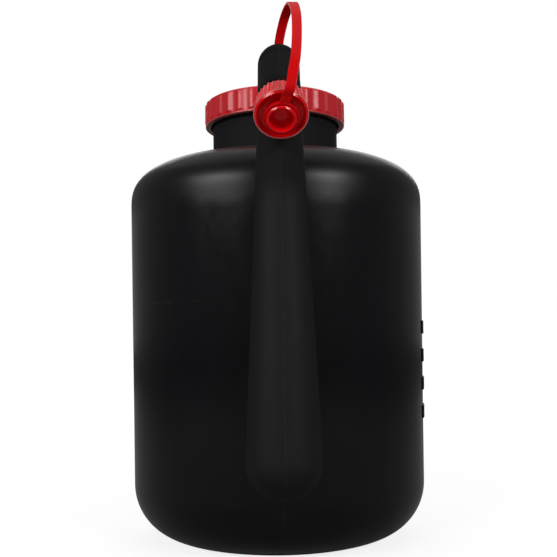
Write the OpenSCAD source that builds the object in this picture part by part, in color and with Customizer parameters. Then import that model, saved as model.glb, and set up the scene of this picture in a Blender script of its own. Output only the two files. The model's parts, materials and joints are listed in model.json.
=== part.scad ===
// Round fuel can with a moulded pouring spout, a rear handle and two screw caps.
// The can is blown in one piece and stands on its flat base. The origin is the
// centre of the base, +Z is up and the spout faces -Y.

/* [Body] */
// Outside diameter of the body
body_d = 180; // [150:1:210]
// Height of the shoulder's top above the base
body_h = 231; // [190:1:280]
// Height of the rounded shoulder
shoulder_rise = 29; // [22:0.5:36]
// Radial run of the rounded shoulder
shoulder_run = 61; // [50:0.5:66]
// Height of the rounded lower corner
base_rise = 33; // [22:0.5:40]
// Radial run of the rounded lower corner
base_run = 32; // [22:0.5:36]
// Squareness of the shoulder, where 2 is a plain ellipse
shoulder_power = 2.7; // [2:0.05:3.2]
// Squareness of the lower corner, where 2 is a plain ellipse
base_power = 2; // [1.8:0.05:3]
// Wall of the blown body
wall = 2.5; // [1.8:0.1:3.2]

/* [Filler neck] */
// Height of the neck above the shoulder's top
neck_h = 33; // [28:0.5:40]
// Wall of the neck
neck_wall = 3; // [2.2:0.1:4]
// Fillet between the shoulder and the neck
neck_fillet = 1; // [0.6:0.1:1.5]

/* [Filler cap] */
// Outside diameter of the filler cap over its ribs
lid_d = 87.6; // [86:0.2:92]
// Wall of the filler cap's skirt from its bore to the tips of its ribs
lid_wall = 3.9; // [3.5:0.1:5]
// Height of the filler cap
lid_h = 14.5; // [12:0.25:18]
// Thickness of the filler cap's top
lid_top = 2.5; // [1.8:0.1:3.5]
// Radial room between the neck and the cap's skirt, which the thread fills
lid_gap = 1; // [0.8:0.1:1.4]
// Number of grip ribs round the filler cap
lid_ribs = 33; // [24:1:40]
// Height of each grip rib
lid_rib_h = 0.8; // [0.4:0.1:1.2]
// Thickness of the filler seal
lid_seal = 1.8; // [1.2:0.1:2.6]
// Width of the filler seal's ring
lid_seal_w = 4.5; // [3:0.25:6]

/* [Spout] */
// How far the middle of the spout's foot stands out of the body's side
foot_off = 17; // [16:0.5:20]
// Height of the foot's centre above the base
foot_z = 58; // [50:1:70]
// Radius of the spout's foot
foot_r = 19.6; // [18:0.2:21]
// How far the elbow's centre stands out of the body's side
elbow_off = 6; // [5:0.5:9]
// Height of the elbow's centre above the shoulder's top
elbow_up = 30; // [24:1:44]
// Radius of the elbow
elbow_r = 10.8; // [10.6:0.1:11.3]
// Radius of the spout below the elbow
upper_r = 11.3; // [11.2:0.1:11.6]
// Distance of that place below the elbow
upper_drop = 25; // [18:1:32]
// Wall of the spout
spout_wall = 2.2; // [1.6:0.1:2.6]
// Radius of the throat between body and spout
throat_r = 16.5; // [14:0.25:17.5]
// Thickness of the web between body and spout
web_t = 3.6; // [2.8:0.2:5]
// Distance of the web's upper end below the shoulder's top
web_drop = 35; // [31:1:61]

/* [Spout end] */
// Angle of the spout's arm below the horizontal
arm_dip = 47; // [44:1:50]
// Length of the arm from the elbow's centre to its end
arm_len = 32.8; // [32:0.2:38]
// Radius of the arm
arm_r = 10.4; // [10.2:0.05:10.5]
// Radius of the mouth behind its thread
mouth_r = 8.9; // [8.4:0.1:9.1]
// Length of the mouth beyond the arm
mouth_len = 6.9; // [5.5:0.1:9]
// Wall of the mouth
mouth_wall = 2.2; // [1.6:0.1:2.6]

/* [Spout cap] */
// Radius of the spout cap's rear end over its ribs
plug_rear_r = 11.9; // [11.5:0.1:12]
// Radius of the spout cap's front rim
plug_rim_r = 13.4; // [12.9:0.1:14]
// Room between the arm's end and the cap
plug_gap = 0.8; // [0.6:0.1:1.4]
// Radial room between the mouth and the cap's skirt, which the thread fills
plug_play = 0.6; // [0.5:0.05:0.8]
// Thickness of the spout seal
plug_seal = 1.2; // [0.8:0.1:2]
// Thickness of the cap's floor
plug_floor = 1.8; // [1.2:0.1:2.6]
// Depth of the ring-shaped recess in the cap's face
plug_recess = 4.5; // [3:0.1:6]
// Thickness of the front rim
plug_rim_t = 1.1; // [0.8:0.1:1.6]
// Number of grip ribs round the spout cap
plug_ribs = 30; // [20:1:36]
// Height of each grip rib
plug_rib_h = 0.9; // [0.6:0.05:1.1]
// Width of each grip rib
plug_rib_w = 1.3; // [1:0.1:1.6]
// Radius of the hollow stub that holds the strap
stub_r = 7; // [6.6:0.1:7.4]
// Wall of the stub
stub_wall = 1.1; // [0.8:0.1:1.6]
// How far the stub stands out of the front rim
stub_out = 4.3; // [3.6:0.1:5.5]
// How far the stub's lip stands over its side
stub_lip = 0.35; // [0.2:0.05:0.5]

/* [Cap strap] */
// Width of the strap
strap_w = 4.8; // [4:0.1:6]
// Thickness of the strap
strap_t = 1.4; // [1:0.1:2]
// Room between a strap ring and what it turns on
ring_gap = 0.3; // [0.25:0.05:0.4]
// Radial width of the ring on the stub
stub_ring_w = 1.6; // [1.2:0.1:2.2]
// Radial width of the ring round the spout
spout_ring_w = 1.8; // [1.2:0.1:2.4]
// Height of the ring round the spout
spout_ring_h = 4; // [3:0.25:5]
// Distance of that ring below the elbow
spout_ring_drop = 22; // [20:0.5:23.5]

/* [Handle] */
// How far the grip's centre stands out of the body's side
grip_off = 44; // [38:1:50]
// Radius of the handle's tube
grip_r = 12.5; // [11:0.25:14]
// Wall of the handle
grip_wall = 2.2; // [1.6:0.1:2.6]
// Radius of the handle's bends
grip_bend = 24; // [20:1:28]
// Distance of the handle's upper arm below the shoulder's top
grip_drop = 22; // [19:1:31]
// Height of the handle's lower arm above the base
grip_low = 96; // [80:1:110]

/* [Raised bars] */
// Number of raised bars on the body's right side
bar_count = 4; // [2:1:5]
// Height of each bar
bar_h = 8; // [5:0.5:10]
// Distance between bars
bar_pitch = 17; // [13:0.5:20]
// Height of the lowest bar's centre above the base
bar_low = 76; // [66:1:90]
// Length of each bar along the body's girth, in degrees
bar_arc = 34; // [20:1:50]
// How far the bars stand out
bar_out = 0.9; // [0.5:0.1:1.4]

/* [Hidden] */
$fn = 96;

body_r = body_d / 2;
neck_top = body_h + neck_h;
arc_steps = 14;
cut = 1;          // how far a cut runs past the face that it opens

lid_r = lid_d / 2;
lid_bore_r = lid_r - lid_wall;
neck_r = lid_bore_r - lid_gap;
lid_under = neck_top + lid_seal;
lid_top_z = lid_under + lid_top;
lid_chamfer = 0.8;
lid_rib_r = 1.9;
lid_edge_h = 1.1;  // the plain edge round the skirt's lower end
lid_edge_in = 0.3; // how far that edge stands back from the ribs

foot_out = body_r + foot_off;
elbow_out = body_r + elbow_off;
elbow_z = body_h + elbow_up;
web_top = body_h - web_drop;
grip_out = body_r + grip_off;
grip_top = body_h - grip_drop;

spout_rise = elbow_z - foot_z;
spout_in = foot_out - elbow_out;
spout_len = norm([spout_in, spout_rise]);
spout_lean = -atan2(spout_in, spout_rise);
arm_turn = 90 + arm_dip;

plug_back = arm_len + plug_gap;
mouth_end = arm_len + mouth_len;
plug_inside = mouth_end + plug_seal;
plug_face = plug_inside + plug_floor;
plug_front = plug_face + plug_recess;
plug_root = plug_rear_r - plug_rib_h;
plug_bore_r = mouth_r + plug_play;
plug_rim_in = plug_rim_r - 1.1;
plug_back_cone = 0.6;
plug_rib_in = 0.15; // how far the ribs' front ends stand back from the rim
stub_end = plug_front + stub_out;
stub_lip_t = 1.1;
stub_in_r = stub_r - stub_wall;
stub_floor = plug_face + 0.8;

stub_ring_t = strap_t + 0.1;
stub_ring_at = stub_end - stub_lip_t - ring_gap - stub_ring_t;
stub_ring_in = stub_r + ring_gap;
stub_ring_r = stub_ring_in + stub_ring_w;

// Radius of the spout's outside at a distance t up its axis from the foot
upper_at = spout_len - upper_drop;
function spout_r(t) = t < upper_at
    ? foot_r + (upper_r - foot_r) * t / upper_at
    : upper_r + (elbow_r - upper_r) * (t - upper_at) / upper_drop;
spout_ring_at = spout_len - spout_ring_drop;
spout_ring_in = spout_r(spout_ring_at - spout_ring_h / 2) + ring_gap;

// A quarter of a superellipse with half axes a and b, from the a end to the b end
function corner(a, b, power) = [for (i = [0:arc_steps])
    let (t = 90 * i / arc_steps)
    [a * pow(cos(t), 2 / power), b * pow(sin(t), 2 / power)]];

// A round arc of radius r about [x, y] from angle a to angle b
function arc(x, y, r, a, b, n = arc_steps) = [for (i = [0:n])
    let (t = a + (b - a) * i / n)
    [x + r * cos(t), y + r * sin(t)]];

function flip(list) = [for (i = [len(list) - 1:-1:0]) list[i]];

// The body's outline without its neck, moved in by w
function base_arc(w) = [for (p = flip(corner(base_run - w, base_rise - w, base_power)))
    [body_r - base_run + p[0], base_rise - p[1]]];
function shoulder_arc(w) = [for (p = corner(shoulder_run - w, shoulder_rise - w, shoulder_power))
    [body_r - shoulder_run + p[0], body_h - shoulder_rise + p[1]]];

// The shoulder's height at a distance x from the axis, outside
function shoulder_z(x) = body_h - shoulder_rise + shoulder_rise
    * pow(1 - pow(max(0, x - body_r + shoulder_run) / shoulder_run, shoulder_power), 1 / shoulder_power);

// The can is one piece, but its spout and its handle are modelled as parts of their own.
// They meet the body in flat joins, this far out of its side.
split_off = 1.5;
split_in = 7; // how far the spout's part reaches in over the shoulder
split_z = shoulder_z(body_r - split_in) + 1;

module shell_outside() {
    foot_x = neck_r + neck_fillet;
    foot_y = shoulder_z(foot_x) + neck_fillet;
    rotate_extrude()
        polygon(concat(
            [[0, 0]],
            base_arc(0),
            [for (p = shoulder_arc(0)) if (p[0] > foot_x + 0.5) p],
            arc(foot_x, foot_y, neck_fillet, 270, 180, 5),
            [[neck_r, neck_top], [0, neck_top]]));
}

module shell_inside() {
    bore_r = neck_r - neck_wall;
    rotate_extrude()
        polygon(concat(
            [[0, wall]],
            base_arc(wall),
            [for (p = shoulder_arc(wall)) if (p[0] > bore_r + 0.5) p],
            [[bore_r, shoulder_z(bore_r) - wall], [bore_r, neck_top + cut], [0, neck_top + cut]]));
}

module on_spout() {
    translate([0, -foot_out, foot_z])
        rotate([spout_lean, 0, 0])
            children();
}

module on_arm() {
    translate([0, -elbow_out, elbow_z])
        rotate([arm_turn, 0, 0])
            children();
}

// The spout's straight tube with its round foot and round elbow, moved in by w
module spout_tube(w) {
    on_spout()
        rotate_extrude()
            polygon(concat(
                arc(0, 0, foot_r - w, -90, 0),
                [[upper_r - w, upper_at]],
                arc(0, spout_len, elbow_r - w, 0, 90)));
}

module throat(w, reach) {
    translate([0, -foot_out, foot_z])
        rotate([-90, 0, 0])
            cylinder(h = reach, r = throat_r - w);
}

module spout_web() {
    translate([-web_t / 2, -foot_out, foot_z])
        cube([web_t, foot_out - body_r + wall / 2, web_top - foot_z]);
}

module bend(w, turn) {
    rotate_extrude(angle = turn)
        translate([grip_bend, 0])
            circle(r = grip_r - w);
}

// The handle's tube: an arm out of the shoulder, the upright grip and an arm back to the wall
module handle_tube(w, root) {
    corner_y = grip_out - grip_bend;
    translate([0, root, grip_top])
        rotate([-90, 0, 0])
            cylinder(h = corner_y - root, r = grip_r - w);
    translate([0, corner_y, grip_top - grip_bend])
        rotate([0, -90, 0])
            bend(w, 90);
    translate([0, grip_out, grip_low + grip_bend])
        cylinder(h = grip_top - grip_low - 2 * grip_bend, r = grip_r - w);
    translate([0, corner_y, grip_low + grip_bend])
        rotate([0, 90, 0])
            bend(w, 90);
    translate([0, root, grip_low])
        rotate([-90, 0, 0])
            cylinder(h = corner_y - root, r = grip_r - w);
}

module raised_bars() {
    for (i = [0:bar_count - 1])
        translate([0, 0, bar_low + i * bar_pitch])
            rotate([0, 0, -bar_arc / 2])
                rotate_extrude(angle = bar_arc)
                    translate([body_r - wall / 2, -bar_h / 2])
                        square([wall / 2 + bar_out, bar_h]);
}

// The whole can as it is blown, in one piece
module blown_can() {
    difference() {
        union() {
            shell_outside();
            spout_tube(0);
            throat(0, foot_out - body_r + wall);
            spout_web();
            on_arm()
                cylinder(h = arm_len, r = arm_r);
            on_arm()
                cylinder(h = mouth_end, r = mouth_r);
            handle_tube(0, body_r - wall - grip_r);
            raised_bars();
        }
        shell_inside();
        spout_tube(spout_wall);
        throat(spout_wall, foot_out - body_r + 2 * wall);
        handle_tube(grip_wall, body_r - 2 * wall - grip_r);
        on_arm()
            cylinder(h = arm_len - mouth_wall, r = arm_r - spout_wall);
        on_arm()
            cylinder(h = mouth_end + cut, r = mouth_r - mouth_wall);
    }
}

// The room that holds the spout: all that is in front of the body, and above its
// shoulder a strip that takes in the back of the tube
module spout_side() {
    side = 2 * foot_r;
    front = 2 * body_r;
    translate([-side, -front, 0])
        cube([2 * side, front - body_r - split_off, elbow_z + side]);
    translate([-side, -front, split_z])
        cube([2 * side, front - body_r + split_in, elbow_z + side - split_z]);
}

// The room that holds the handle, behind the body
module handle_side() {
    side = 2 * grip_r;
    translate([-side, body_r + split_off, grip_low - side])
        cube([2 * side, grip_off + side, grip_top - grip_low + 2 * side]);
}

module can_body() {
    color([0.06, 0.06, 0.065])
        difference() {
            blown_can();
            spout_side();
            handle_side();
        }
}

module can_spout() {
    color([0.06, 0.06, 0.065])
        intersection() {
            blown_can();
            spout_side();
        }
}

module can_handle() {
    color([0.06, 0.06, 0.065])
        intersection() {
            blown_can();
            handle_side();
        }
}

module filler_cap() {
    root_r = lid_r - lid_rib_h;
    skirt_z = lid_top_z - lid_h;
    color([0.75, 0.03, 0.04])
        difference() {
            union() {
                rotate_extrude()
                    polygon([
                        [0, skirt_z],
                        [lid_r - lid_edge_in, skirt_z],
                        [lid_r - lid_edge_in, skirt_z + lid_edge_h],
                        [root_r, skirt_z + lid_edge_h],
                        [root_r, lid_top_z - lid_chamfer],
                        [root_r - lid_chamfer, lid_top_z],
                        [0, lid_top_z]]);
                for (i = [0:lid_ribs - 1])
                    rotate([0, 0, 360 * i / lid_ribs])
                        translate([lid_r - lid_rib_r, 0, skirt_z + lid_edge_h / 2])
                            cylinder(h = lid_h - 2 * lid_chamfer - lid_edge_h / 2, r = lid_rib_r, $fn = 24);
            }
            translate([0, 0, skirt_z - cut])
                cylinder(h = lid_under - skirt_z + cut, r = lid_bore_r);
        }
}

module filler_seal() {
    color([0.85, 0.85, 0.82])
        translate([0, 0, neck_top])
            difference() {
                cylinder(h = lid_seal, r = neck_r);
                translate([0, 0, -cut])
                    cylinder(h = lid_seal + 2 * cut, r = neck_r - lid_seal_w);
            }
}

module spout_cap() {
    rib_run = plug_front - plug_rim_t - plug_back - plug_back_cone;
    flare = plug_rim_r - plug_rear_r;
    rib_tilt = atan2(flare - plug_rib_in, rib_run);
    color([0.75, 0.03, 0.04])
        on_arm() {
            difference() {
                union() {
                    rotate_extrude()
                        polygon([
                            [0, plug_back],
                            [plug_root - plug_back_cone, plug_back],
                            [plug_root, plug_back + plug_back_cone],
                            [plug_root + flare, plug_front - plug_rim_t],
                            [plug_rim_r, plug_front - plug_rim_t],
                            [plug_rim_r, plug_front],
                            [plug_rim_in, plug_front],
                            [plug_rim_in - 0.3, plug_face],
                            [stub_r, plug_face],
                            [stub_r, stub_end - stub_lip_t],
                            [stub_r + stub_lip, stub_end - stub_lip_t],
                            [stub_r + stub_lip, stub_end - stub_lip],
                            [stub_r, stub_end],
                            [stub_in_r, stub_end],
                            [stub_in_r, stub_floor],
                            [0, stub_floor]]);
                    for (i = [0:plug_ribs - 1])
                        rotate([0, 0, 360 * i / plug_ribs])
                            translate([plug_root, 0, plug_back + plug_back_cone])
                                rotate([0, rib_tilt, 0])
                                    translate([-plug_rib_h, -plug_rib_w / 2, 0])
                                        cube([2 * plug_rib_h, plug_rib_w, rib_run + plug_rim_t / 3]);
                }
                translate([0, 0, plug_back - cut])
                    cylinder(h = plug_inside - plug_back + cut, r = plug_bore_r);
            }
        }
}

module spout_seal() {
    color([0.2, 0.2, 0.2])
        on_arm()
            translate([0, 0, mouth_end])
                cylinder(h = plug_seal, r = mouth_r);
}

// Places in the plane of the spout, from a distance along the arm and one across it
function arm_at(x, along, across) = [
    x,
    -elbow_out - along * cos(arm_dip) - across * sin(arm_dip),
    elbow_z - along * sin(arm_dip) + across * cos(arm_dip)];
strap_z0 = stub_ring_at + stub_ring_t / 2;
ring_back = spout_ring_in + spout_ring_w - strap_t / 2;
function spout_at(t, across) = [
    0,
    -foot_out + t * sin(-spout_lean) + across * cos(spout_lean),
    foot_z + t * cos(spout_lean) - across * sin(-spout_lean)];

// The strap's middle line, from the ring on the stub, over an arch, to the ring round the spout
strap_route = [
    arm_at(1.2, strap_z0, stub_ring_in + stub_ring_w / 2),
    arm_at(2.4, strap_z0, plug_rim_r - 2),
    arm_at(4.0, strap_z0 - 0.4, plug_rim_r + 3),
    [5.6, -elbow_out - 43.5, elbow_z - 16],
    [6.9, -elbow_out - 40, elbow_z - 8],
    [8.0, -elbow_out - 31, elbow_z + 6],
    [8.2, -elbow_out - 20, elbow_z + 20],
    [6.7, -elbow_out - 8, elbow_z + 29],
    [3.6, -elbow_out + 5, elbow_z + 27],
    [0.6, -elbow_out + 13.5, elbow_z + 16],
    [0.1, -elbow_out + 16, elbow_z + 2],
    spout_at(spout_ring_at + 8, ring_back + 1.2),
    spout_at(spout_ring_at, ring_back)];

// A smooth curve through the points of a route
function smooth(p, i, t) = let (
        last = len(p) - 1,
        a = p[max(0, i - 1)],
        b = p[i],
        c = p[min(last, i + 1)],
        d = p[min(last, i + 2)])
    0.5 * (2 * b + (c - a) * t + (2 * a - 5 * b + 4 * c - d) * t * t
        + (3 * b - a - 3 * c + d) * t * t * t);
strap_steps = 5;
strap_line = concat(
    [for (i = [0:len(strap_route) - 2], k = [0:strap_steps - 1]) smooth(strap_route, i, k / strap_steps)],
    [strap_route[len(strap_route) - 1]]);

function unit(v) = v / norm(v);

// A flat band swept along a line, its width kept level with X
module band(line, w, t) {
    n = len(line);
    rings = [for (i = [0:n - 1])
        let (
            along = unit(line[min(n - 1, i + 1)] - line[max(0, i - 1)]),
            side = unit([1, 0, 0] - along * along[0]),
            up = cross(along, side))
        [for (s = [[-1, -1], [1, -1], [1, 1], [-1, 1]])
            line[i] + side * s[0] * w / 2 + up * s[1] * t / 2]];
    polyhedron(
        points = [for (r = rings, p = r) p],
        faces = concat(
            [[0, 1, 2, 3]],
            [for (i = [0:n - 2], k = [0:3])
                let (a = 4 * i + k, b = 4 * i + (k + 1) % 4)
                [a, a + 4, b + 4, b]],
            [[4 * n - 1, 4 * n - 2, 4 * n - 3, 4 * n - 4]]));
}

module ring(outer, inner, h) {
    difference() {
        cylinder(h = h, r = outer);
        translate([0, 0, -cut])
            cylinder(h = h + 2 * cut, r = inner);
    }
}

module cap_strap() {
    color([0.72, 0.03, 0.04]) {
        difference() {
            band(strap_line, strap_w, strap_t);
            on_arm()
                cylinder(h = stub_end + cut, r = stub_ring_in);
            on_spout()
                cylinder(h = spout_len, r = spout_ring_in);
        }
        on_arm()
            translate([0, 0, stub_ring_at])
                ring(stub_ring_r, stub_ring_in, stub_ring_t);
        difference() {
            on_spout()
                translate([0, 0, spout_ring_at - spout_ring_h / 2])
                    ring(spout_ring_in + spout_ring_w, spout_ring_in, spout_ring_h);
            on_arm()
                cylinder(h = arm_len, r = arm_r + ring_gap);
        }
    }
}

can_body();
can_spout();
can_handle();
filler_cap();
filler_seal();
spout_cap();
spout_seal();
cap_strap();
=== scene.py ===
import json
import math
import bpy
from mathutils import Matrix, Vector

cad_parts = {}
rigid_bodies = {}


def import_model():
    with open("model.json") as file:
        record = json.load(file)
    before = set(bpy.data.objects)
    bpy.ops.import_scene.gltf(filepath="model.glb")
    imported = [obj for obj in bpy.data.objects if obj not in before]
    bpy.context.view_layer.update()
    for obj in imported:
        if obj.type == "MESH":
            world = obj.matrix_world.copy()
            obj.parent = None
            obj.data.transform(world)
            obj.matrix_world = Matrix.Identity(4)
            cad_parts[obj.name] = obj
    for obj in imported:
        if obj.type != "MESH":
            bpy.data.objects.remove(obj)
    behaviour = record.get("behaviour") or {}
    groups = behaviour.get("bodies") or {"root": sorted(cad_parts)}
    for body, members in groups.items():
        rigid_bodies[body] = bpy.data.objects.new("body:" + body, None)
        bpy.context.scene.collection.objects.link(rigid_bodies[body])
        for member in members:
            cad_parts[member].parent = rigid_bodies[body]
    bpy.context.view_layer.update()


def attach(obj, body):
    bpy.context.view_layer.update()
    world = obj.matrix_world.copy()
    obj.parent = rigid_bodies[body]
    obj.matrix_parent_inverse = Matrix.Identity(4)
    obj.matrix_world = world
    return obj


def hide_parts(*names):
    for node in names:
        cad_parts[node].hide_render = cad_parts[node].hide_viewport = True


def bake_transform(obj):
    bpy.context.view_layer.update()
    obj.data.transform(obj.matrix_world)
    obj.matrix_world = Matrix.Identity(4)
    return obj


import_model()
mm = 0.001


# Helpers for modelling

def onlyThis(piece):
    if bpy.context.mode != "OBJECT":
        bpy.ops.object.mode_set(mode="OBJECT")
    bpy.ops.object.select_all(action="DESELECT")
    piece.select_set(True)
    bpy.context.view_layer.objects.active = piece


def editAll(piece, how="SELECT"):
    onlyThis(piece)
    bpy.ops.object.mode_set(mode="EDIT")
    bpy.ops.mesh.select_mode(type="VERT")
    bpy.ops.mesh.select_all(action=how)


def backToObject():
    bpy.ops.object.mode_set(mode="OBJECT")


def newPrimitive(add, name, **values):  # added with nothing else selected, its place kept in its mesh
    bpy.ops.object.select_all(action="DESELECT")
    add(**values)
    piece = bpy.context.object
    piece.name = name
    bpy.ops.object.transform_apply(location=True, rotation=True, scale=True)
    return piece


def drawLine(name, points):  # a primitive merged to one vertex, which is then drawn on by extrudes
    piece = newPrimitive(bpy.ops.mesh.primitive_plane_add, name, size=mm, location=points[0])
    editAll(piece)
    bpy.ops.mesh.merge(type="CENTER")
    here = Vector(points[0])
    for point in points[1:]:
        bpy.ops.mesh.extrude_vertices_move(TRANSFORM_OT_translate={"value": Vector(point) - here})
        here = Vector(point)
    backToObject()
    return piece


def tidyMesh(piece):
    editAll(piece)
    bpy.ops.mesh.remove_doubles(threshold=0.01 * mm)
    bpy.ops.mesh.normals_make_consistent(inside=False)
    backToObject()
    return piece


def turned(name, outline, steps):  # a solid turned about Z from an outline of (radius, height) in mm
    piece = drawLine(name, [(r * mm, 0, z * mm) for r, z in outline])
    editAll(piece)
    bpy.ops.mesh.spin(steps=steps, angle=2 * math.pi, center=(0, 0, 0), axis=(0, 0, 1))
    backToObject()
    return tidyMesh(piece)


def settle(piece, location, rotation):
    onlyThis(piece)
    piece.location = location
    piece.rotation_euler = rotation
    bpy.ops.object.transform_apply(location=True, rotation=True, scale=True)
    return piece


def finishWith(piece, kind, **values):
    onlyThis(piece)
    modifier = piece.modifiers.new(kind.lower(), kind)
    for key, value in values.items():
        setattr(modifier, key, value)
    bpy.ops.object.modifier_apply(modifier=modifier.name)
    return piece


def fuse(piece, others, operation="UNION"):
    for other in others:
        finishWith(piece, "BOOLEAN", operation=operation, solver="EXACT", object=other)
        bpy.data.objects.remove(other)
    return piece


def joinLoose(pieces):  # pieces that don't touch, made one object
    onlyThis(pieces[0])
    for piece in pieces:
        piece.select_set(True)
    bpy.ops.object.join()
    return pieces[0]


def markWhere(piece, test):  # leaves edit mode on, with the vertices that pass the test selected
    editAll(piece, "DESELECT")
    backToObject()
    for vertex in piece.data.vertices:
        vertex.select = test(vertex.co / mm)
    bpy.ops.object.mode_set(mode="EDIT")


def smoothShade(piece, angle=35):
    onlyThis(piece)
    bpy.ops.object.shade_smooth_by_angle(angle=math.radians(angle))


def arc(x, z, radius, start, end, steps):
    angles = [math.radians(start + (end - start) * i / steps) for i in range(steps + 1)]
    return [(x + radius * math.cos(a), z + radius * math.sin(a)) for a in angles]


def between(start, end, steps):  # the points of a straight stretch, without its ends
    return [tuple(a + (b - a) * i / steps for a, b in zip(start, end)) for i in range(1, steps)]


def eased(low, high, value):
    share = min(1.0, max(0.0, (value - low) / (high - low)))
    return share * share * (3 - 2 * share)


# Shader helpers: a wrapped socket that takes sums and products, and one maker of nodes

class Wire:
    def __init__(self, finish, socket):
        self.finish = finish
        self.socket = socket

    def sum(self, operation, first, second, **settings):
        settings["operation"] = operation
        return self.finish.node("ShaderNodeMath", settings, {0: first, 1: second})

    def __add__(self, other):
        return self.sum("ADD", self, other)

    def __radd__(self, other):
        return self.sum("ADD", other, self)

    def __sub__(self, other):
        return self.sum("SUBTRACT", self, other)

    def __rsub__(self, other):
        return self.sum("SUBTRACT", other, self)

    def __mul__(self, other):
        return self.sum("MULTIPLY", self, other)

    def __rmul__(self, other):
        return self.sum("MULTIPLY", other, self)

    def clipped(self):
        return self.sum("ADD", self, 0.0, use_clamp=True)


class Finish:
    def __init__(self, name, **constants):
        self.material = bpy.data.materials.new(name)
        self.material.use_nodes = True
        self.tree = self.material.node_tree
        self.shader = self.tree.nodes["Principled BSDF"]
        for key, value in constants.items():
            self.feed(key.replace("_", " "), value)

    def node(self, kind, settings=None, values=None, output=0):
        made = self.tree.nodes.new(kind)
        for key, value in (settings or {}).items():
            setattr(made, key, value)
        for key, value in (values or {}).items():
            self.link(made.inputs[key], value)
        return Wire(self, made.outputs[output])

    def link(self, socket, value):
        if isinstance(value, Wire):
            self.tree.links.new(value.socket, socket)
        else:
            socket.default_value = value

    def feed(self, name, value):
        self.link(self.shader.inputs[name], value)

    def here(self):
        return self.node("ShaderNodeTexCoord", output="Object")

    def place(self, scale=(1, 1, 1), turn=(0, 0, 0), shift=(0, 0, 0)):
        return self.node("ShaderNodeMapping", {},
                         {"Vector": self.here(), "Scale": scale, "Rotation": turn, "Location": shift})

    def noise(self, size, detail=2.0, roughness=0.5, stretch=(1, 1, 1), turn=(0, 0, 0), shift=(0, 0, 0)):
        spot = self.place(stretch, turn, shift)  # size is that of one blotch, in mm
        return self.node("ShaderNodeTexNoise", {}, {"Vector": spot, "Scale": 1000 / size, "Detail": detail,
                                                    "Roughness": roughness})

    def ramp(self, value, low, high, start=0.0, end=1.0):
        return self.node("ShaderNodeMapRange", {"interpolation_type": "SMOOTHSTEP"},
                         {0: value, 1: low, 2: high, 3: start, 4: end})

    def near(self, spot, radius, inner=0.0):  # 1 close to a spot in mm, 0 past the radius
        away = self.node("ShaderNodeVectorMath", {"operation": "DISTANCE"},
                         {0: self.here(), 1: Vector(spot) * mm}, "Value")
        return self.ramp(away, radius * mm, inner * mm)

    def across(self, axis):  # the place along one axis, in metres
        return self.node("ShaderNodeSeparateXYZ", {}, {0: self.here()}, axis)

    def line(self, axis, middle, half):  # 1 along a thin plane across an axis, in metres
        away = self.node("ShaderNodeMath", {"operation": "ABSOLUTE"}, {0: self.across(axis) - middle})
        return self.ramp(away, half, half * 0.3)

    def along(self, start, way):  # how far a spot lies along a direction, in metres
        reach = self.node("ShaderNodeVectorMath", {"operation": "DOT_PRODUCT"}, {0: self.here(), 1: way}, "Value")
        return reach - start.dot(way)

    def blend(self, share, first, second):
        first, second = (c if isinstance(c, Wire) else (*c, 1) for c in (first, second))
        return self.node("ShaderNodeMix", {"data_type": "RGBA"}, {0: share, 6: first, 7: second}, 2)

    def bump(self, height, depth, under=None):  # depth in mm
        values = {"Height": height, "Distance": depth * mm, "Strength": 1.0}
        if under:
            values["Normal"] = under
        return self.node("ShaderNodeBump", {}, values)


# The can: body, spout, handle and raised bars in one blown skin

canShape = {
    "radius": 90, "height": 231, "wall": 2.5,
    "shoulderRun": 61, "shoulderRise": 29, "shoulderPower": 2.7, "baseRun": 32, "baseRise": 33, "basePower": 2.0,
    "neckRadius": 38.9, "neckTop": 264, "neckWall": 3, "neckFillet": 2.4,
    "grooveRadius": 46, "grooveDepth": 0.9, "turns": 216,
    "seamHalf": 0.7, "seamHeight": 0.3,
    "threadReach": 39.4, "threadWidth": 1.4, "threadPitch": 5.0, "threadLow": 251.5, "threadTurns": 2.0,
    "threadSteps": 200,
}
spoutShape = {
    "footOut": 107, "footHeight": 58, "footRadius": 19.6,
    "elbowOut": 96, "elbowHeight": 261, "elbowRadius": 10.8,
    "upperRadius": 11.3, "upperDrop": 25, "wall": 2.2,
    "throatRadius": 16.5, "webThickness": 3.6, "webTop": 196,
    "armDip": 47, "armLength": 32.8, "armRadius": 10.4,
    "mouthRadius": 8.9, "mouthLength": 6.9, "mouthWall": 2.2, "turns": 72,
}
handleShape = {"out": 133.69, "radius": 12.5, "wall": 2.2, "bend": 24, "top": 209, "low": 96, "turns": 56}
barShape = {"count": 4, "height": 8, "pitch": 17, "lowest": 76, "arc": 34, "out": 0.85, "round": 0.4}

spoutRise = spoutShape["elbowHeight"] - spoutShape["footHeight"]
spoutIn = spoutShape["footOut"] - spoutShape["elbowOut"]
spoutLength = math.hypot(spoutRise, spoutIn)
spoutLean = -math.atan2(spoutIn, spoutRise)
armTurn = math.radians(90 + spoutShape["armDip"])
elbowPlace = Vector((0, -spoutShape["elbowOut"], spoutShape["elbowHeight"])) * mm
footPlace = Vector((0, -spoutShape["footOut"], spoutShape["footHeight"])) * mm
armWay = Matrix.Rotation(armTurn, 3, "X") @ Vector((0, 0, 1))


def onSpout(piece):
    return settle(piece, footPlace, (spoutLean, 0, 0))


def onArm(piece):
    return settle(piece, elbowPlace, (armTurn, 0, 0))


def alongArm(spot):  # how far a point in mm lies along the arm from the elbow
    return (spot - elbowPlace / mm).dot(armWay)


def corner(run, rise, power, steps):  # a quarter of a superellipse
    angles = [math.pi / 2 * i / steps for i in range(steps + 1)]
    return [(run * abs(math.cos(a)) ** (2 / power), rise * math.sin(a) ** (2 / power)) for a in angles]


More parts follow.
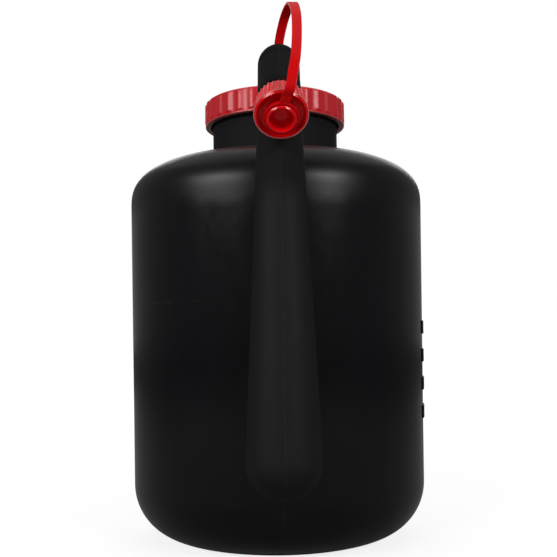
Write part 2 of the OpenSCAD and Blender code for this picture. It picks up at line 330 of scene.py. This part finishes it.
def bodyOutline(inset, innerRadius, steps, rows):
    c = canShape
    lower = [(c["radius"] - c["baseRun"] + x, c["baseRise"] - z)
             for x, z in reversed(corner(c["baseRun"] - inset, c["baseRise"] - inset, c["basePower"], steps))]
    upper = [(c["radius"] - c["shoulderRun"] + x, c["height"] - c["shoulderRise"] + z)
             for x, z in corner(c["shoulderRun"] - inset, c["shoulderRise"] - inset, c["shoulderPower"], steps)]
    upper = [point for point in upper if point[0] > innerRadius]
    return lower + between(lower[-1], upper[0], rows) + upper


def makeBody():
    c = canShape
    fillet, groove, rim = c["neckFillet"], c["grooveRadius"], c["neckTop"]
    underside = [(0, 0), (16, 0), (30, 0), (groove - 3, 0), (groove - 1.4, c["grooveDepth"]),
                 (groove + 1.4, c["grooveDepth"]), (groove + 3, 0)]
    skin = bodyOutline(0, c["neckRadius"] + fillet + 0.6, 30, 60)
    neckFoot = arc(c["neckRadius"] + fillet, c["height"] + fillet - 0.35, fillet, 264, 180, 7)
    neck = between(neckFoot[-1], (c["neckRadius"], rim - 1), 12)
    top = [(c["neckRadius"], rim - 1), (c["neckRadius"] - 0.3, rim - 0.3), (c["neckRadius"] - 1, rim), (0, rim)]
    return turned("fuel_can_body", underside + skin + neckFoot + neck + top, c["turns"])


def spoutTube(inset, steps):
    s = spoutShape
    upperAt = spoutLength - s["upperDrop"]
    foot = arc(0, 0, s["footRadius"] - inset, -90, 0, 18)
    upper = (s["upperRadius"] - inset, upperAt)
    dome = arc(0, spoutLength, s["elbowRadius"] - inset, 0, 90, 12)
    outline = foot + between(foot[-1], upper, 66) + [upper] + between(upper, dome[0], 10) + dome
    return onSpout(turned("spout_tube", outline, steps))


def bar(radius, start, end, rows):
    return [(0, start), (radius, start)] + between((radius, start), (radius, end), rows) + [(radius, end), (0, end)]


def armTube(radius, start, end, steps=60):
    return onArm(turned("arm", bar(radius, start, end, 16), steps))


def throatTube(inset, reach, steps=64):  # runs from the foot's centre into the body
    s = spoutShape
    return settle(turned("throat", bar(s["throatRadius"] - inset, 0, reach, 8), steps),
                  footPlace, (-math.pi / 2, 0, 0))


def handleTube(inset, root):
    h = handleShape
    cornerY, straight = h["out"] - h["bend"], h["top"] - h["low"] - 2 * h["bend"]
    piece = newPrimitive(bpy.ops.mesh.primitive_circle_add, "handle_tube", vertices=h["turns"], fill_type="NOTHING",
                         radius=(h["radius"] - inset) * mm, location=(0, root * mm, h["top"] * mm),
                         rotation=(math.pi / 2, 0, 0))
    editAll(piece)

    def run(y, z, steps):
        for i in range(steps):
            bpy.ops.mesh.extrude_region_move(TRANSFORM_OT_translate={"value": (0, y * mm / steps, z * mm / steps)})

    def bend(height):
        bpy.ops.mesh.spin(steps=18, angle=math.pi / 2, axis=(1, 0, 0), center=(0, cornerY * mm, height * mm))

    run(cornerY - root, 0, 14)
    bend(h["top"] - h["bend"])
    run(0, -straight, 24)
    bend(h["low"] + h["bend"])
    run(root - cornerY, 0, 14)
    bpy.ops.mesh.edge_face_add()
    markWhere(piece, lambda spot: spot.y < root + 1 and spot.z > h["top"] - h["radius"] - 1)
    bpy.ops.mesh.edge_face_add()
    backToObject()
    return tidyMesh(piece)


def raisedBar(height):
    c, b = canShape, barShape
    side = math.radians(-b["arc"] / 2)
    inner, outer, half = c["radius"] - 1, c["radius"] + b["out"], b["height"] / 2
    section = [(inner, -half), (outer, -half), (outer, half), (inner, half)]
    piece = drawLine("raised_bar", [(x * mm * math.cos(side), x * mm * math.sin(side), (height + z) * mm)
                                    for x, z in section])
    editAll(piece)
    bpy.ops.mesh.edge_face_add()
    bpy.ops.mesh.spin(steps=30, angle=-math.radians(b["arc"]), center=(0, 0, 0), axis=(0, 0, 1))
    backToObject()
    tidyMesh(piece)
    return finishWith(piece, "BEVEL", width=b["round"] * mm, segments=2, limit_method="ANGLE",
                      angle_limit=math.radians(50))


def neckThread():
    c = canShape
    root, tip, width = c["neckRadius"] - 0.4, c["threadReach"], c["threadWidth"]
    points = [(root, -width), (tip, -width * 0.35), (tip, width * 0.35), (root, width)]
    piece = drawLine("neck_thread", [(r * mm, 0, (c["threadLow"] + z) * mm) for r, z in points])
    editAll(piece)
    bpy.ops.mesh.edge_face_add()
    backToObject()
    finishWith(piece, "SCREW", angle=2 * math.pi * c["threadTurns"],
               screw_offset=c["threadPitch"] * c["threadTurns"] * mm, steps=c["threadSteps"],
               render_steps=c["threadSteps"], axis="Z", use_merge_vertices=True, merge_threshold=0.001 * mm)
    editAll(piece)
    bpy.ops.mesh.fill_holes(sides=4)
    backToObject()
    return tidyMesh(piece)


def softenJoins(can):  # the creases where the tubes meet the body are blown round
    s = spoutShape
    editAll(can, "DESELECT")
    bpy.ops.mesh.select_mode(type="EDGE")
    bpy.ops.mesh.edges_select_sharp(sharpness=math.radians(20))
    bpy.ops.mesh.select_mode(type="VERT")
    backToObject()
    for vertex in can.data.vertices:
        spot = vertex.co / mm
        onSpoutSide = spot.y < -60 and 20 < spot.z < 262 and alongArm(spot) < s["armLength"] - 3
        onHandleSide = spot.y > 60 and 60 < spot.z < 240
        if not (abs(spot.x) < 32 and (onSpoutSide or onHandleSide)):
            vertex.select = False
    bpy.ops.object.mode_set(mode="EDIT")
    bpy.ops.mesh.vertices_smooth(factor=0.5, repeat=1)
    bpy.ops.mesh.select_more()
    bpy.ops.mesh.vertices_smooth(factor=0.5, repeat=2)
    backToObject()


def raiseSeam(can):  # the mould's parting line, all round the can in the plane of the spout
    c = canShape
    for x in (-c["seamHalf"], 0, c["seamHalf"]):
        editAll(can)
        bpy.ops.mesh.bisect(plane_co=(x * mm, 0, 0), plane_no=(1, 0, 0))
        backToObject()
    markWhere(can, lambda spot: abs(spot.x) < 0.02 and 1 < spot.z < 273 and (spot.z < 249 or abs(spot.y) > 60)
              and abs(spot.y) > 35 and alongArm(spot) < spoutShape["armLength"] - 1)
    bpy.ops.transform.shrink_fatten(value=c["seamHeight"] * mm)
    backToObject()


def makeCan():
    c, s, h = canShape, spoutShape, handleShape
    can = makeBody()
    spout = spoutTube(0, s["turns"])
    webDepth, webMiddle = s["footOut"] - c["radius"] + 2, (s["footOut"] + c["radius"] - 2) / 2
    web = newPrimitive(bpy.ops.mesh.primitive_cube_add, "web", size=1,
                       location=(0, -webMiddle * mm, (s["footHeight"] + s["webTop"]) / 2 * mm),
                       scale=(s["webThickness"] * mm, webDepth * mm, (s["webTop"] - s["footHeight"]) * mm))
    fuse(spout, [armTube(s["armRadius"], 0, s["armLength"]), throatTube(0, s["footOut"] - c["radius"] + 6), web])
    fuse(can, [spout, handleTube(0, c["radius"] - 8)])
    print("can skin fused")
    softenJoins(can)
    raiseSeam(can)
    print("joins softened, seam raised")
    mouthEnd = s["armLength"] + s["mouthLength"]
    mouth = armTube(s["mouthRadius"], s["armLength"] - 2, mouthEnd)
    bars = [raisedBar(barShape["lowest"] + i * barShape["pitch"]) for i in range(barShape["count"])]
    fuse(can, [joinLoose([mouth, neckThread()] + bars)])
    bore = c["neckRadius"] - c["neckWall"]
    inner = c["height"] - c["wall"]
    room = turned("room", [(0, c["wall"])] + bodyOutline(c["wall"], bore + 0.8, 20, 20)
                  + [(bore + 0.6, inner), (bore, inner + 0.6), (bore, c["neckTop"] + 2), (0, c["neckTop"] + 2)], 96)
    passage = spoutTube(s["wall"], 48)
    fuse(passage, [armTube(s["armRadius"] - s["wall"], 0, s["armLength"] - s["mouthWall"], 40),
                   armTube(s["mouthRadius"] - s["mouthWall"], 0, mouthEnd + 1, 40),
                   throatTube(s["wall"], s["footOut"] - c["radius"] + 8, 40)])
    fuse(room, [passage, handleTube(h["wall"], c["radius"] - 12)])
    fuse(can, [room], "DIFFERENCE")
    smoothShade(can, 30)
    print("can hollowed,", len(can.data.polygons), "faces")
    return can


can = makeCan()
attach(can, "can")
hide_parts("can_body", "can_spout", "can_handle")


# The filler cap: a shallow lid with broad shallow ribs round its skirt

fillerCap = {
    "ribTips": 43.8, "root": 43.0, "bore": 39.9, "bottom": 253.8, "top": 268.3, "ceiling": 265.8,
    "flangeOut": 43.55, "flangeHeight": 1.1, "edge": 1.1, "dish": 34.0, "dishDepth": 0.6,
    "ribs": 33, "stepsPerRib": 12,
}


def makeFillerCap():
    p = fillerCap
    low, top, edge = p["bottom"], p["top"], p["edge"]
    ceiling = p["ceiling"]
    inside = [(0, ceiling), (24, ceiling), (p["bore"] - 0.6, ceiling), (p["bore"], ceiling - 0.6)]
    skirt = between(inside[-1], (p["bore"], low + 0.5), 6) + [(p["bore"], low + 0.5), (p["bore"] + 0.5, low)]
    flange = [(p["flangeOut"] - 0.35, low), (p["flangeOut"], low + 0.3),
              (p["flangeOut"], low + p["flangeHeight"] - 0.2), (p["root"] + 0.15, low + p["flangeHeight"])]
    wall = between(flange[-1], (p["root"], top - edge), 14)
    rim = arc(p["root"] - edge, top - edge, edge, 0, 90, 7)
    dishLow = top - p["dishDepth"]
    dish = [(p["dish"] + 1.2, top), (p["dish"], dishLow), (18, dishLow), (0, dishLow)]
    cap = turned("filler_cap_shell", inside + skirt + flange + wall + rim + dish, p["ribs"] * p["stepsPerRib"])
    wallLow, wallHigh = low + p["flangeHeight"], top - edge
    for vertex in cap.data.vertices:  # the ribs, pressed into the smooth skirt
        x, y, z = vertex.co / mm
        across = math.hypot(x, y)
        if across < p["root"] - edge or z < wallLow + 0.1:  # the inside and the flange stay as they are
            continue
        wave = 0.5 + 0.5 * math.cos(p["ribs"] * math.atan2(y, x))
        share = eased(wallLow, wallLow + 0.9, z) * (1 - eased(wallHigh - 0.3, top - 0.1, z))
        out = (p["ribTips"] - p["root"] - 0.02) * wave ** 1.2 * share
        vertex.co.x *= (across + out) / across
        vertex.co.y *= (across + out) / across
    smoothShade(cap, 40)
    return cap


fillerLid = makeFillerCap()
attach(fillerLid, "filler_screw")
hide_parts("filler_cap")
print("filler cap made")


# The spout cap, turned about the arm's axis: a ribbed cone, a front rim, a ring recess and a hollow stub

spoutCap = {
    "back": 33.6, "inside": 40.9, "face": 42.7, "front": 47.2, "stubEnd": 51.5,
    "bore": 9.5, "rootBack": 11.0, "rootFront": 12.45, "tipsBack": 11.85, "tipsFront": 13.2,
    "rim": 13.4, "rimInner": 11.8, "rimThickness": 1.3, "slopeRun": 0.82, "slopeRise": 1.05,
    "stub": 7.0, "stubWall": 1.1, "lip": 0.35, "stubFloor": 43.6, "ribs": 30, "stepsPerRib": 10,
}


def makeSpoutCap():
    p = spoutCap
    inside = [(0, p["inside"]), (p["bore"] - 0.5, p["inside"]), (p["bore"], p["inside"] - 0.5)]
    boreEnd = (p["bore"], p["back"] + 0.3)
    back = between(inside[-1], boreEnd, 4) + [boreEnd, (p["bore"] + 0.3, p["back"])]
    shoulder = [(p["rootBack"] - 0.5, p["back"]), (p["rootBack"] - 0.12, p["back"] + 0.15),
                (p["rootBack"], p["back"] + 0.55)]
    coneEnd = (p["rootFront"], p["front"] - p["rimThickness"] - 0.1)
    cone = between(shoulder[-1], coneEnd, 16) + [coneEnd]
    rimBack = p["front"] - p["rimThickness"]
    land, crest = p["front"] - p["slopeRise"], p["rimInner"] + 0.3
    slope = [(crest + p["slopeRun"] * share, p["front"] - p["slopeRise"] * share)
             for share in (1.0, 0.9, 0.5, 0.1, 0.0)]  # the rows near its ends keep the glossy slope flat
    rim = [(p["rim"] - 0.25, rimBack), (p["rim"], rimBack + 0.25), (p["rim"], land - 0.15),
           (p["rim"] - 0.12, land)] + slope + [(crest - 0.25, p["front"] - 0.1), (p["rimInner"], p["front"] - 0.4)]
    recess = [(p["rimInner"] - 0.1, p["face"] + 0.9), (p["rimInner"] - 0.35, p["face"] + 0.3),
              (p["rimInner"] - 1.0, p["face"]), (p["stub"] + 0.9, p["face"]), (p["stub"] + 0.25, p["face"] + 0.25),
              (p["stub"], p["face"] + 0.9)]
    lipLow, lipOut = p["stubEnd"] - 1.1, p["stub"] + p["lip"]
    stub = between(recess[-1], (p["stub"], lipLow - 0.2), 5) + [
        (p["stub"], lipLow - 0.2), (lipOut - 0.05, lipLow + 0.05), (lipOut, lipLow + 0.25),
        (lipOut - 0.08, lipLow + 0.38), (lipOut - 0.14, lipLow + 0.46),
        (p["stub"] - 0.24, p["stubEnd"] - 0.08), (p["stub"] - 0.3, p["stubEnd"]), (p["stub"] - 0.45, p["stubEnd"])]
    hollowIn = p["stub"] - p["stubWall"]
    hollow = [(hollowIn + 0.3, p["stubEnd"]), (hollowIn + 0.05, p["stubEnd"] - 0.15),
              (hollowIn - 0.05, p["stubEnd"] - 0.6)]
    floorAt = p["stubFloor"]
    dish = [(hollowIn - 0.35, floorAt + 3.6), (hollowIn - 0.8, floorAt + 2.2), (hollowIn - 1.6, floorAt + 1.1),
            (hollowIn - 2.9, floorAt + 0.35), (1.6, floorAt), (0, floorAt)]
    cap = turned("spout_cap_shell", inside + back + shoulder + cone + rim + recess + stub + hollow + dish,
                 p["ribs"] * p["stepsPerRib"])
    ribLow, ribHigh = p["back"] + 0.3, rimBack
    for vertex in cap.data.vertices:  # fine ribs on the cone
        x, y, z = vertex.co / mm
        across = math.hypot(x, y)
        run = (z - ribLow) / (ribHigh - ribLow)
        if not 0 < run < 1 or across < p["rootBack"] + (p["rootFront"] - p["rootBack"]) * run - 0.35:
            continue
        tips = p["tipsBack"] + (p["tipsFront"] - p["tipsBack"]) * run
        wave = 0.5 + 0.5 * math.cos(p["ribs"] * math.atan2(y, x))
        out = max(0.0, tips - across) * wave ** 1.4 * eased(ribLow, ribLow + 0.6, z)
        vertex.co.x *= (across + out) / across
        vertex.co.y *= (across + out) / across
    onArm(cap)
    smoothShade(cap, 40)
    return cap


spoutLid = makeSpoutCap()
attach(spoutLid, "spout_screw")
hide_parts("spout_cap")
print("spout cap made")


# The strap: a flat band from the ring on the stub, over an arch, to the clip round the spout

strapShape = {
    "width": 4.8, "thickness": 1.36, "edge": 0.6, "stepsPerSpan": 9,
    "stubRingLow": 48.6, "stubRingThick": 1.5, "stubRingIn": 7.3, "stubRingOut": 8.7,
    "clipDrop": 22, "clipHeight": 4, "clipGap": 0.3, "clipWidth": 1.8, "armRoom": 10.7,
    "arch": [(5.6, -43.5, -16), (6.9, -40, -8), (8.0, -31, 6), (8.2, -20, 20), (6.7, -8, 29), (3.6, 5, 27),
             (0.6, 13.5, 16), (0.1, 16, 2)],
}


def armPoint(x, along, across):
    s = spoutShape
    dip = math.radians(s["armDip"])
    return Vector((x, -s["elbowOut"] - along * math.cos(dip) - across * math.sin(dip),
                   s["elbowHeight"] - along * math.sin(dip) + across * math.cos(dip)))


def spoutPoint(along, across):
    s = spoutShape
    lean = -spoutLean
    return Vector((0, -s["footOut"] + along * math.sin(lean) + across * math.cos(lean),
                   s["footHeight"] + along * math.cos(lean) - across * math.sin(lean)))


def clipInside():
    p, s = strapShape, spoutShape
    down = p["clipDrop"] + p["clipHeight"] / 2
    return s["elbowRadius"] + (s["upperRadius"] - s["elbowRadius"]) * down / s["upperDrop"] + p["clipGap"]


def strapRoute():
    p = strapShape
    level = p["stubRingLow"] + p["stubRingThick"] / 2
    clipAt = spoutLength - p["clipDrop"]
    back = clipInside() + p["clipWidth"] - p["thickness"] / 2
    start = [armPoint(1.2, level, p["stubRingIn"] + 0.8), armPoint(2.4, level, 11.4), armPoint(4.0, level - 0.4, 16.4)]
    return (start + [elbowPlace / mm + Vector(point) for point in p["arch"]]
            + [spoutPoint(clipAt + 8, back + 1.2), spoutPoint(clipAt, back)])


def curveThrough(points, steps):  # a Catmull-Rom curve, as the part's source draws it
    last, found = len(points) - 1, []
    for i in range(last):
        a, b, c, d = points[max(0, i - 1)], points[i], points[i + 1], points[min(last, i + 2)]
        for k in range(steps):
            t = k / steps
            found.append(0.5 * (2 * b + (c - a) * t + (2 * a - 5 * b + 4 * c - d) * t * t
                                + (3 * b - a - 3 * c + d) * t * t * t))
    return found + [points[-1]]


def makeBand():
    p = strapShape
    line = curveThrough(strapRoute(), p["stepsPerSpan"])
    rows = len(line) - 1
    band = newPrimitive(bpy.ops.mesh.primitive_grid_add, "cap_strap_band", size=2 * mm,
                        x_subdivisions=rows, y_subdivisions=4)
    for vertex in band.data.vertices:
        row = round((vertex.co.x / mm + 1) / 2 * rows)
        along = (line[min(rows, row + 1)] - line[max(0, row - 1)]).normalized()
        side = (Vector((1, 0, 0)) - along * along.x).normalized()
        vertex.co = (line[row] + side * (vertex.co.y / mm) * p["width"] / 2) * mm
    finishWith(band, "SOLIDIFY", thickness=p["thickness"] * mm, offset=0)
    finishWith(band, "BEVEL", width=p["edge"] * mm, segments=3, limit_method="ANGLE", angle_limit=math.radians(60))
    return tidyMesh(band)


def roundRing(name, inner, outer, low, high, edge, steps):
    bulge = edge * 0.3  # how far the outer edges' middle points stand in
    outline = [(inner, low + edge), (inner + edge, low), (outer - edge, low), (outer - bulge, low + bulge),
               (outer, low + edge), (outer, high - edge), (outer - bulge, high - bulge), (outer - edge, high),
               (inner + edge, high), (inner, high - edge), (inner, low + edge)]
    return turned(name, outline, steps)


def makeStrap():
    p, s = strapShape, spoutShape
    strap = makeBand()
    low = p["stubRingLow"]
    stubRing = onArm(roundRing("stub_ring", p["stubRingIn"], p["stubRingOut"], low, low + p["stubRingThick"],
                               0.4, 96))
    clipAt = spoutLength - p["clipDrop"]
    inner = clipInside()
    clip = onSpout(roundRing("spout_clip", inner, inner + p["clipWidth"], clipAt - p["clipHeight"] / 2,
                             clipAt + p["clipHeight"] / 2, 0.4, 96))
    fuse(clip, [armTube(p["armRoom"], 0, s["armLength"], 64)], "DIFFERENCE")
    fuse(strap, [onArm(turned("stub_room", bar(p["stubRingIn"], low - 3, low + 5, 2), 96)),
                 onSpout(turned("clip_room", bar(inner, clipAt - 6, clipAt + 10, 2), 96))], "DIFFERENCE")
    fuse(strap, [stubRing, clip])
    smoothShade(strap, 40)
    return strap


strap = makeStrap()
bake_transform(strap)
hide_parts("cap_strap")
print("strap made")


# Finishes

def canFinish():  # satin blown polyethylene with a faint skin, scratches, scuffs and dust, and a painted highlight along the mould seam
    f = Finish("satin_black_plastic", Specular_IOR_Level=0.26)
    mottle = f.noise(16, 3)
    blotches = f.noise(5, 3, 0.6)
    cloudy = f.noise(70, 2)
    grain = f.noise(0.9, 2, 0.6)
    streaks = f.noise(5, 2, 0.5, (1, 1, 0.06))
    scratchLines = f.noise(1.2, 1, 0.5, (0.05, 0.05, 1), (0.02, 0.05, 0))
    scratchZone = f.ramp(f.noise(45, 2, 0.5, shift=(0.3, 0.1, 0.2)), 0.56, 0.7)
    scratches = f.ramp(scratchLines, 0.7, 0.78) * scratchZone
    scuffNoise = f.ramp(f.noise(1.6, 4, 0.75, (1, 1, 0.5)), 0.5, 0.85)
    scuffs = (f.near((80, -42, 196), 40, 4) + 0.5 * f.near((-86, -26, 190), 30, 6)) * scuffNoise
    lowDust = f.ramp(f.across("Z"), 0.02, 0.0) * f.ramp(f.noise(9, 3), 0.45, 0.7)
    longScratch = (f.line("Z", 0.1414, 0.0005) * f.ramp(f.noise(11, 3, 0.6, (1, 1, 0.1)), 0.38, 0.55)
                   * f.ramp(f.across("X"), -0.036, -0.05) * f.ramp(f.across("Y"), 0.0, -0.02))
    # painted highlight: a paler line along the mould seam stands in for light caught on its ridge; below it is mixed
    # with the real scratches, scuffs and dust
    seamHighlightLine = f.line("X", 0.0, 0.00055) * f.ramp(f.noise(7, 3, 0.6), 0.3, 0.6)
    wearAndSeamHighlight = (0.08 * scratches + 0.45 * scuffs + 0.15 * lowDust + 0.16 * longScratch + 0.1 * seamHighlightLine).clipped()
    colour = f.blend(mottle * 0.6 + cloudy * 0.4, (0.0030, 0.0025, 0.0037), (0.0043, 0.0037, 0.0052))
    f.feed("Base Color", f.blend(wearAndSeamHighlight, colour, (0.06, 0.057, 0.06)))
    matte = (f.ramp(f.across("Y"), -0.0895, -0.094, 0.0, 0.5)  # the spout, shoulder and neck are duller
             + f.ramp(f.across("Z"), 0.189, 0.203, 0.0, 0.17) + f.ramp(f.across("Z"), 0.224, 0.2295, 0.0, 0.45))
    gloss = 0.08 + 0.07 * mottle + 0.08 * blotches + 0.03 * streaks
    f.feed("Roughness", (gloss + 0.25 * wearAndSeamHighlight + matte).clipped())
    blown = f.bump(f.noise(38, 1), 0.25)
    skin = f.bump(grain, 0.012, blown)
    f.feed("Normal", f.bump(scratches, 0.006, skin))
    return f.material


def capFinish(name, gloss, dark, bright, findHighlightedEdges, **constants):  # moulded red, with a painted highlight that makes its edges paler
    f = Finish(name, **constants)
    mottle = f.noise(6, 3)
    rub = f.ramp(f.noise(2.2, 3, 0.65), 0.5, 0.75)
    # painted highlight: the edges are tinted pale pink as if they caught the light
    edgeHighlight = findHighlightedEdges(f) * (0.35 + 0.5 * f.noise(3.5, 3)).clipped()
    f.feed("Base Color", f.blend(edgeHighlight, f.blend(mottle, dark, bright), (0.9, 0.32, 0.32)))
    f.feed("Roughness", gloss + 0.08 * mottle + 0.1 * rub)
    f.feed("Normal", f.bump(f.noise(0.8, 2, 0.6), 0.012))
    return f.material


def strapFinish():  # softer and more even than the caps
    f = Finish("soft_red_plastic", Specular_IOR_Level=0.12)
    mottle = f.noise(5, 2)
    f.feed("Base Color", f.blend(mottle, (0.62, 0.0004, 0.0015), (0.72, 0.001, 0.003)))
    f.feed("Roughness", 0.34 + 0.08 * f.noise(2.5, 2))
    f.feed("Normal", f.bump(f.noise(1.4, 2), 0.01))
    return f.material


def foamFinish():
    f = Finish("pale_foam")
    cells = f.node("ShaderNodeTexVoronoi", {}, {"Vector": f.place(), "Scale": 1400.0})
    f.feed("Base Color", f.blend(f.noise(3, 2), (0.72, 0.71, 0.66), (0.82, 0.81, 0.77)))
    f.feed("Roughness", 0.8 + 0.1 * f.noise(2, 2))
    f.feed("Normal", f.bump(cells, 0.05))
    return f.material


def rubberFinish():
    f = Finish("dark_rubber")
    f.feed("Base Color", f.blend(f.noise(2, 3), (0.02, 0.02, 0.021), (0.035, 0.034, 0.033)))
    f.feed("Roughness", 0.62 + 0.15 * f.noise(1.5, 2))
    f.feed("Normal", f.bump(f.noise(0.5, 2), 0.02))
    return f.material


def dress(piece, material):
    piece.data.materials.clear()
    piece.data.materials.append(material)


def fillerEdgeHighlights(f):  # painted highlight on the flange's lower edge and the rim of the top
    height = f.across("Z")
    outside = 1.0 - f.near((0, 0, 268.2), 42.6, 42.0)
    return f.ramp(height, 0.2543, 0.2539) + f.ramp(height, 0.2673, 0.2679) * outside


def spoutRimHighlight(f):  # painted highlight on the front edge of the rim
    rimAt = (spoutCap["front"] - spoutCap["slopeRise"]) * mm
    outside = 1.0 - f.near((elbowPlace + armWay * rimAt) / mm, 13.1, 12.9)
    return 1.8 * f.ramp(f.along(elbowPlace, armWay), rimAt - 0.0005, rimAt - 0.0001) * outside


dress(can, canFinish())
dress(fillerLid, capFinish("semi_gloss_red_plastic", 0.3, (0.6, 0.005, 0.012), (0.72, 0.011, 0.022), fillerEdgeHighlights))
dress(spoutLid, capFinish("glossy_red_plastic", 0.12, (0.78, 0.001, 0.004), (0.9, 0.002, 0.007), spoutRimHighlight,
                          Specular_IOR_Level=0.28))
dress(strap, strapFinish())
for node, material in (("filler_seal", foamFinish()), ("spout_seal", rubberFinish())):
    for slot in bpy.data.objects[node].material_slots:
        slot.material = material
print("finishes made")


# Floor, light and camera

studio = {
    "floorSize": 30.0, "floorColour": 0.3, "nearLift": 0.82, "farLift": 1.0, "world": 0.19,
    "cameraFar": 0.519, "cameraHeight": 0.118, "azimuth": -1.4, "roll": -0.75,
    "lens": 53.06, "shiftX": 0.0014, "shiftY": 0.1169,
}


def makeFloor():
    floor = newPrimitive(bpy.ops.mesh.primitive_plane_add, "floor", size=studio["floorSize"])
    f = Finish("pale_floor", Roughness=0.9, Specular_IOR_Level=0.1, Emission_Strength=1.0)
    level, close, far = (studio[key] for key in ("floorColour", "nearLift", "farLift"))
    f.feed("Base Color", f.blend(f.noise(60, 2), (level, level, level), (level + 0.02, level + 0.02, level + 0.02)))
    lift = f.blend(f.near((0, 0, 0), 1100, 250), (far, far, far), (close, close, close))
    f.feed("Emission Color", f.blend(f.node("ShaderNodeLightPath", output="Is Camera Ray"), (0, 0, 0), lift))
    dress(floor, f.material)


def makeWorld():  # white where the camera looks, and a plain level of light on the object
    world = bpy.data.worlds.new("studio")
    bpy.context.scene.world = world
    world.use_nodes = True
    tree = world.node_tree
    background = tree.nodes["Background"]
    background.inputs["Color"].default_value = (1, 1, 1, 1)
    path = tree.nodes.new("ShaderNodeLightPath")
    level = tree.nodes.new("ShaderNodeMapRange")
    level.inputs[3].default_value = studio["world"]
    level.inputs[4].default_value = 1.0
    tree.links.new(path.outputs["Is Camera Ray"], level.inputs[0])
    tree.links.new(level.outputs[0], background.inputs["Strength"])


def addLamp(name, place, aim, size, power):
    light = bpy.data.lights.new(name, "AREA")
    light.shape = "RECTANGLE"
    light.size, light.size_y = size
    light.energy = power
    lamp = bpy.data.objects.new(name, light)
    bpy.context.scene.collection.objects.link(lamp)
    lamp.location = place
    lamp.rotation_euler = (Vector(aim) - Vector(place)).to_track_quat("-Z", "Y").to_euler()


makeFloor()
makeWorld()
addLamp("left_softbox", (-0.9, -0.92, 0.66), (0, 0, 0.2), (0.85, 0.22), 8.0)
addLamp("right_softbox", (0.8, -1.0, 0.66), (0, 0, 0.2), (0.5, 0.22), 6.5)
addLamp("rear_softbox", (0.1, 1.3, 0.85), (0, 0, 0.15), (1.3, 0.5), 4.0)
addLamp("top_softbox", (0.0, 0.2, 1.3), (0, 0, 0.2), (1.8, 1.4), 3.0)

lens = bpy.data.cameras.new("camera")
lens.lens = studio["lens"]
lens.sensor_width = 36
lens.shift_x, lens.shift_y = studio["shiftX"], studio["shiftY"]
lens.clip_start = 0.01
camera = bpy.data.objects.new("camera", lens)
bpy.context.scene.collection.objects.link(camera)
swing = math.radians(studio["azimuth"])
far = studio["cameraFar"]
camera.location = (far * math.sin(swing), -far * math.cos(swing), studio["cameraHeight"])
camera.rotation_euler = (Matrix.Rotation(swing, 3, "Z") @ Matrix.Rotation(math.pi / 2, 3, "X")
                         @ Matrix.Rotation(math.radians(studio["roll"]), 3, "Z")).to_euler()
bpy.context.scene.camera = camera
bpy.context.scene.view_settings.view_transform = "Standard"
print("studio set")
